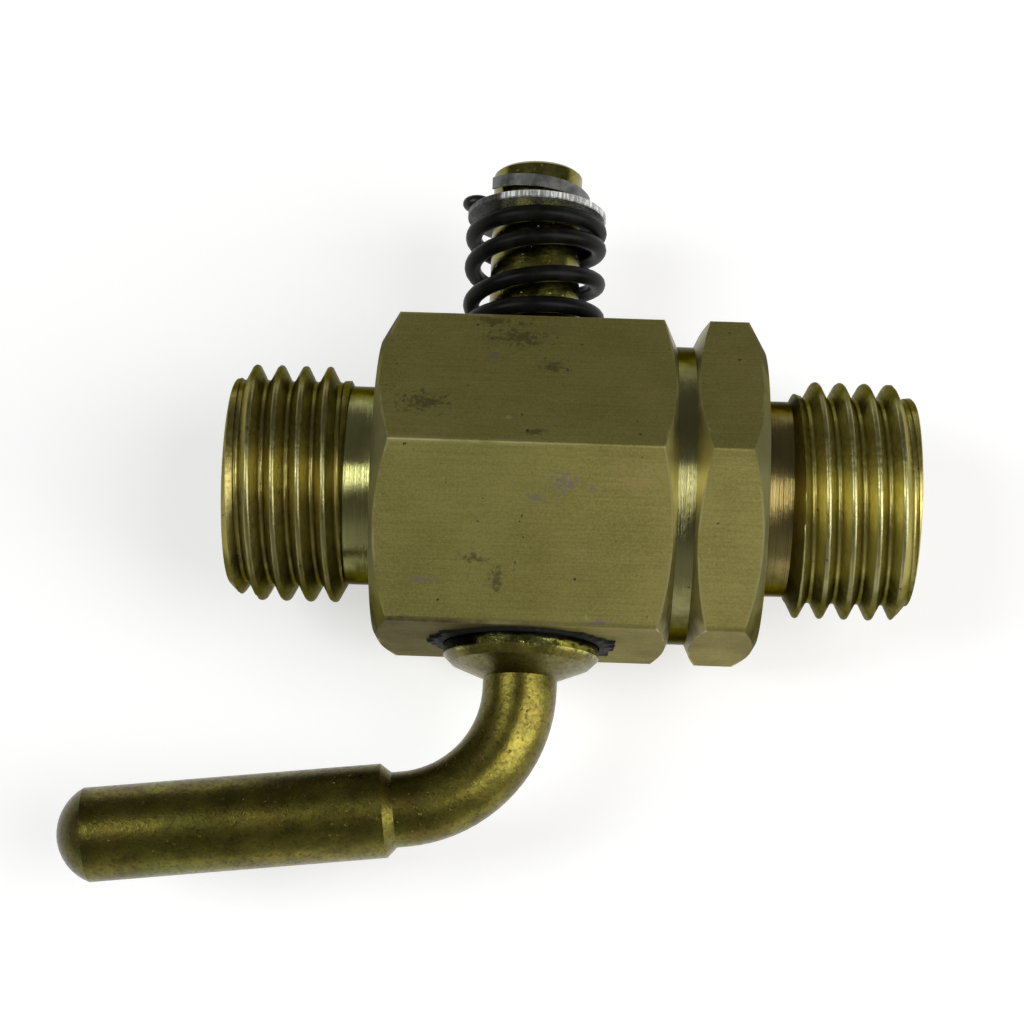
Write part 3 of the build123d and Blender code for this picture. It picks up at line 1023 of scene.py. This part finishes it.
def bend_leg(rise):
    """One leg, from the middle of the eye to its tip."""
    bm = bmesh.new()
    start = half_round(bm, neck_x)
    copy = bmesh.ops.duplicate(bm, geom=start)["geom"]
    section = sweep_on(bm, start, (neck_x, leg_gap + neck_bend), -neck_turn, 6)
    sweep_on(bm, section, (eye_x, 0), math.pi / 2 + neck_turn, 14)
    made = bmesh.ops.extrude_edge_only(
        bm, edges=[part for part in copy if isinstance(part, bmesh.types.BMEdge)])["geom"]
    moved = [part for part in made if isinstance(part, bmesh.types.BMVert)]
    bmesh.ops.translate(bm, verts=moved, vec=(plug_x + bend_x - neck_x, 0, 0))
    section = [part for part in made if not isinstance(part, bmesh.types.BMFace)]
    section = sweep_on(bm, section, (plug_x + bend_x, bend_z), math.pi / 2 + bend_lean, 8)
    section = sweep_on(bm, section, (plug_x, 0), wrap_end - bend_lean, 28, rise)
    tip = [part for part in section if isinstance(part, bmesh.types.BMEdge)]
    bmesh.ops.edgeloop_fill(bm, edges=tip)
    bmesh.ops.remove_doubles(bm, verts=bm.verts[:], dist=merge_distance)
    return bm


# %% Join the two legs
front_rise = 0.65 * MM
pin_bm = bend_leg(front_rise)
back_bm = bend_leg(0.0)
bmesh.ops.scale(back_bm, vec=(1, 1, -1), verts=back_bm.verts[:])
back_leg = bpy.data.meshes.new("back_leg")
back_bm.to_mesh(back_leg)
back_bm.free()
pin_bm.from_mesh(back_leg)
bpy.data.meshes.remove(back_leg)
bmesh.ops.remove_doubles(pin_bm, verts=pin_bm.verts[:], dist=merge_distance)
bmesh.ops.recalc_face_normals(pin_bm, faces=pin_bm.faces[:])
print("open edges left on the pin", sum(edge.is_boundary for edge in pin_bm.edges))
pin_piece = make_piece("bent_split_pin", pin_bm, "plug", [pin_grey])
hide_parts("split_pin")

# %% [markdown]
# ## The grease
# A ground plug is sealed with grease, and turning it presses some out where the plug enters the
# body. It lies there as a ragged black ring, so it is a low ring spun round the plug whose outer
# edge is then pushed in and out by noise, further to the left and right than in front.

# %% Material of the grease
PRESSED_DARK = (0.004, 0.004, 0.0035, 1)
PRESSED_LIGHT = (0.014, 0.013, 0.011, 1)
grease_shine = 0.08


def make_grease_black():
    """Lumpy black grease."""
    tree = start_material("grease_black")
    set_shader(tree, "Specular IOR Level", grease_shine)
    lumps = grain(tree, object_place(tree), 2400, 4.0)
    color = tint(tree, lumps, PRESSED_DARK, PRESSED_LIGHT)
    return finish_material("grease_black", color, ramp(tree, lumps, 0.3, 0.7, 0.5, 0.75), 0.0,
                           [(lumps, 0.06 * MM)])


grease_black = make_grease_black()

# %% Press out the grease
grease_inner = 4.23 * MM
grease_outer = 4.32 * MM
grease_foot = grease_outer + 0.1 * MM
grease_height = 0.22 * MM
grease_sunk = 0.03 * MM
grease_steps = 180
large_lumps = 9
small_lumps = 23


def push_edge(vert):
    """Push a point of the ring's outer edge in or out."""
    out = Vector((vert.co.x - plug_x, 0, vert.co.z))
    if out.length > grease_outer - 0.02 * MM:
        way = out.normalized()
        side = abs(way.x)
        ragged = noise.noise(way * large_lumps) + 0.5 * noise.noise(way * small_lumps)
        reach = (0.04 + 0.45 * side ** 4 + (0.12 + 0.5 * side ** 2) * max(-0.1, ragged)) * MM
        vert.co += way * max(-0.1 * MM, reach)


grease_bm = bmesh.new()
section = [(grease_inner, grease_sunk), (grease_inner, -grease_height),
           (grease_outer, -0.8 * grease_height), (grease_foot, grease_sunk)]
points = [grease_bm.verts.new((plug_x + radius, -flat_y + height, 0)) for radius, height in section]
for index, point in enumerate(points):
    grease_bm.edges.new((points[index - 1], point))
bmesh.ops.spin(grease_bm, geom=grease_bm.verts[:] + grease_bm.edges[:], cent=(plug_x, 0, 0),
               axis=(0, 1, 0), angle=2 * math.pi, steps=grease_steps, use_merge=True)
for vert in grease_bm.verts:
    push_edge(vert)
bmesh.ops.recalc_face_normals(grease_bm, faces=grease_bm.faces[:])
make_piece("pressed_out_grease", grease_bm, "valve_body", [grease_black])

# %% [markdown]
# ## The table
# A pale sheet under the object lights its lower side and takes its shadow. A pure white one would
# throw too much light up, so the sheet is greyer and glows a little for the camera and for
# reflections: it shows white and keeps its shadow. It lies just under the lowest edge of the
# hexagon and is wide enough to fill every view from above.

# %% Material of the table
TABLE_GREY = (0.52, 0.52, 0.53, 1)
WHITE = (1, 1, 1, 1)
table_glow = 0.55


def make_white_table():
    """A matt sheet that glows only for the camera and for reflections."""
    tree = start_material("white_table")
    rays = put(tree, "ShaderNodeLightPath")
    seen = maths(tree, "MAXIMUM", rays.outputs["Is Camera Ray"], rays.outputs["Is Glossy Ray"])
    set_shader(tree, "Emission Color", WHITE)
    set_shader(tree, "Emission Strength", maths(tree, "MULTIPLY", seen, table_glow))
    return finish_material("white_table", TABLE_GREY, 0.9, 0.0)


white_table = make_white_table()

# %% Lay the table
table_size = 1.5
table_gap = 0.02 * MM
table_bm = bmesh.new()
bmesh.ops.create_grid(table_bm, x_segments=8, y_segments=8, size=table_size)
bmesh.ops.translate(table_bm, verts=table_bm.verts[:], vec=(plug_x, 0, cad_low.z - table_gap))
table_mesh = bpy.data.meshes.new("table")
table_bm.to_mesh(table_mesh)
table_bm.free()
table_mesh.materials.append(white_table)
table = bpy.data.objects.new("table", table_mesh)
bpy.context.scene.collection.objects.link(table)
print(f"table at {(cad_low.z - table_gap) / MM:.2f} mm")

# %% [markdown]
# ## Light
# Two soft boxes hang to the left and right of the object, in a room whose front wall is palest.
# Metal shows what it reflects, so the places of the boxes matter more than their strength. A
# box's power follows from its brightness, where 1 shows as plain white.

# %% Hang the lamps
lamp_centre = Vector((plug_x, 0, 0))


def hang_lamp(name, to_right, to_back, distance, size, brightness, color):
    """An area lamp that faces the object; the two angles lean it from straight above."""
    towards = Vector((math.tan(math.radians(to_right)), math.tan(math.radians(to_back)), 1))
    data = bpy.data.lights.new(name, "AREA")
    data.shape = "RECTANGLE"
    data.size, data.size_y = size
    data.energy = brightness * math.pi * size[0] * size[1]
    data.color = color
    lamp = bpy.data.objects.new(name, data)
    lamp.location = lamp_centre + towards.normalized() * distance
    lamp.rotation_mode = "QUATERNION"
    lamp.rotation_quaternion = towards.to_track_quat("Z", "Y")
    lamp.visible_camera = False
    bpy.context.scene.collection.objects.link(lamp)
    print(f"{name}: {data.energy:.2f} W")


hang_lamp("right_box", to_right=50, to_back=-15, distance=0.45, size=(0.26, 0.58),
          brightness=4.7, color=(1.0, 0.99, 0.95))
hang_lamp("left_box", to_right=-36, to_back=-2, distance=0.45, size=(0.145, 0.26),
          brightness=7.4, color=(0.97, 1.0, 0.97))


# %% Paint the room
def paint_room(front_wall, back_wall, ceiling):
    """A world with a pale front wall, a dimmer back wall and a dim ceiling."""
    world = bpy.data.worlds.new("room")
    world.use_nodes = True
    tree = world.node_tree
    facing = put(tree, "ShaderNodeSeparateXYZ",
                 {0: put(tree, "ShaderNodeTexCoord").outputs["Generated"]})
    wall = tint(tree, ramp(tree, facing.outputs[1], -0.5, 0.3), front_wall, back_wall)
    color = tint(tree, ramp(tree, facing.outputs[2], 0.3, 0.75), wall, ceiling)
    tree.links.new(color, tree.nodes["Background"].inputs["Color"])
    bpy.context.scene.world = world
    print("world", world.name)


paint_room(front_wall=(0.36, 0.36, 0.353, 1), back_wall=(0.12, 0.12, 0.118, 1),
           ceiling=(0.11, 0.11, 0.108, 1))

# %% [markdown]
# ## The camera
# The camera stands almost straight above, a little towards the lever's side, and is turned a
# little about its own axis. These angles came from fitting the hexagon's edges and both threads.

# %% Place the camera
camera_place = Vector((plug_x + 2.019 * MM, -33.531 * MM, 127.170 * MM))
camera_forward = Vector((-0.02129, 0.24623, -0.96898))
camera_roll = math.radians(2.209)
camera_data = bpy.data.cameras.new("camera")
camera_data.sensor_width = 36
camera_data.lens = 84.18
camera_data.clip_start = 0.01
camera = bpy.data.objects.new("camera", camera_data)
back = -camera_forward.normalized()
side = Vector((0, 1, 0)).cross(back).normalized()
upright = Matrix((side, back.cross(side), back)).transposed().to_4x4()
camera.matrix_world = (Matrix.Translation(camera_place) @ upright
                       @ Matrix.Rotation(camera_roll, 4, "Z"))
bpy.context.scene.collection.objects.link(camera)
bpy.context.scene.camera = camera
bpy.context.scene.view_settings.view_transform = "Standard"
print("camera right", camera.matrix_world.col[0][:3])

# %% [markdown]
# ## Finish
# The scene is brought up to date at the end.

# %% Finish
bpy.context.view_layer.update()
